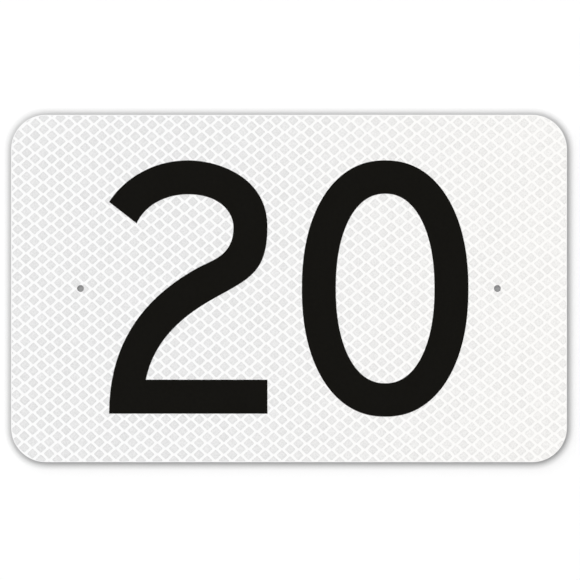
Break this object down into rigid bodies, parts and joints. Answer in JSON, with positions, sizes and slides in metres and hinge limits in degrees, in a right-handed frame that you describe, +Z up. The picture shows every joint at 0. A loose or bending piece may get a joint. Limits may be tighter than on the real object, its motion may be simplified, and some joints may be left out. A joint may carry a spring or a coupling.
{
  "type": "hectometre marker sign",
  "caption": "Flat rectangular marker sign with rounded corners, white reflective sheeting, large black numerals and two fixing holes on its centre line.",
  "frame": {"origin": "centre of the plate's back face, midway between the two fixing holes", "axes": "the sign stands upright: -Y is the way its face looks, +X is to the right seen from the front, +Z is up"},
  "size_m": [0.4, 0.0026, 0.25],
  "materials": {
    "aluminium_plate": "mill finish, fine rolling grain",
    "white_sheeting": "glossy clear face over white seal lines and pale grey diamond cells",
    "black_film": "satin black cut film"
  },
  "bodies": {
    "root": {"plate": "aluminium_plate", "reflective_sheeting": "white_sheeting", "digit_two": "black_film", "digit_zero": "black_film"}
  },
  "joints": []
}
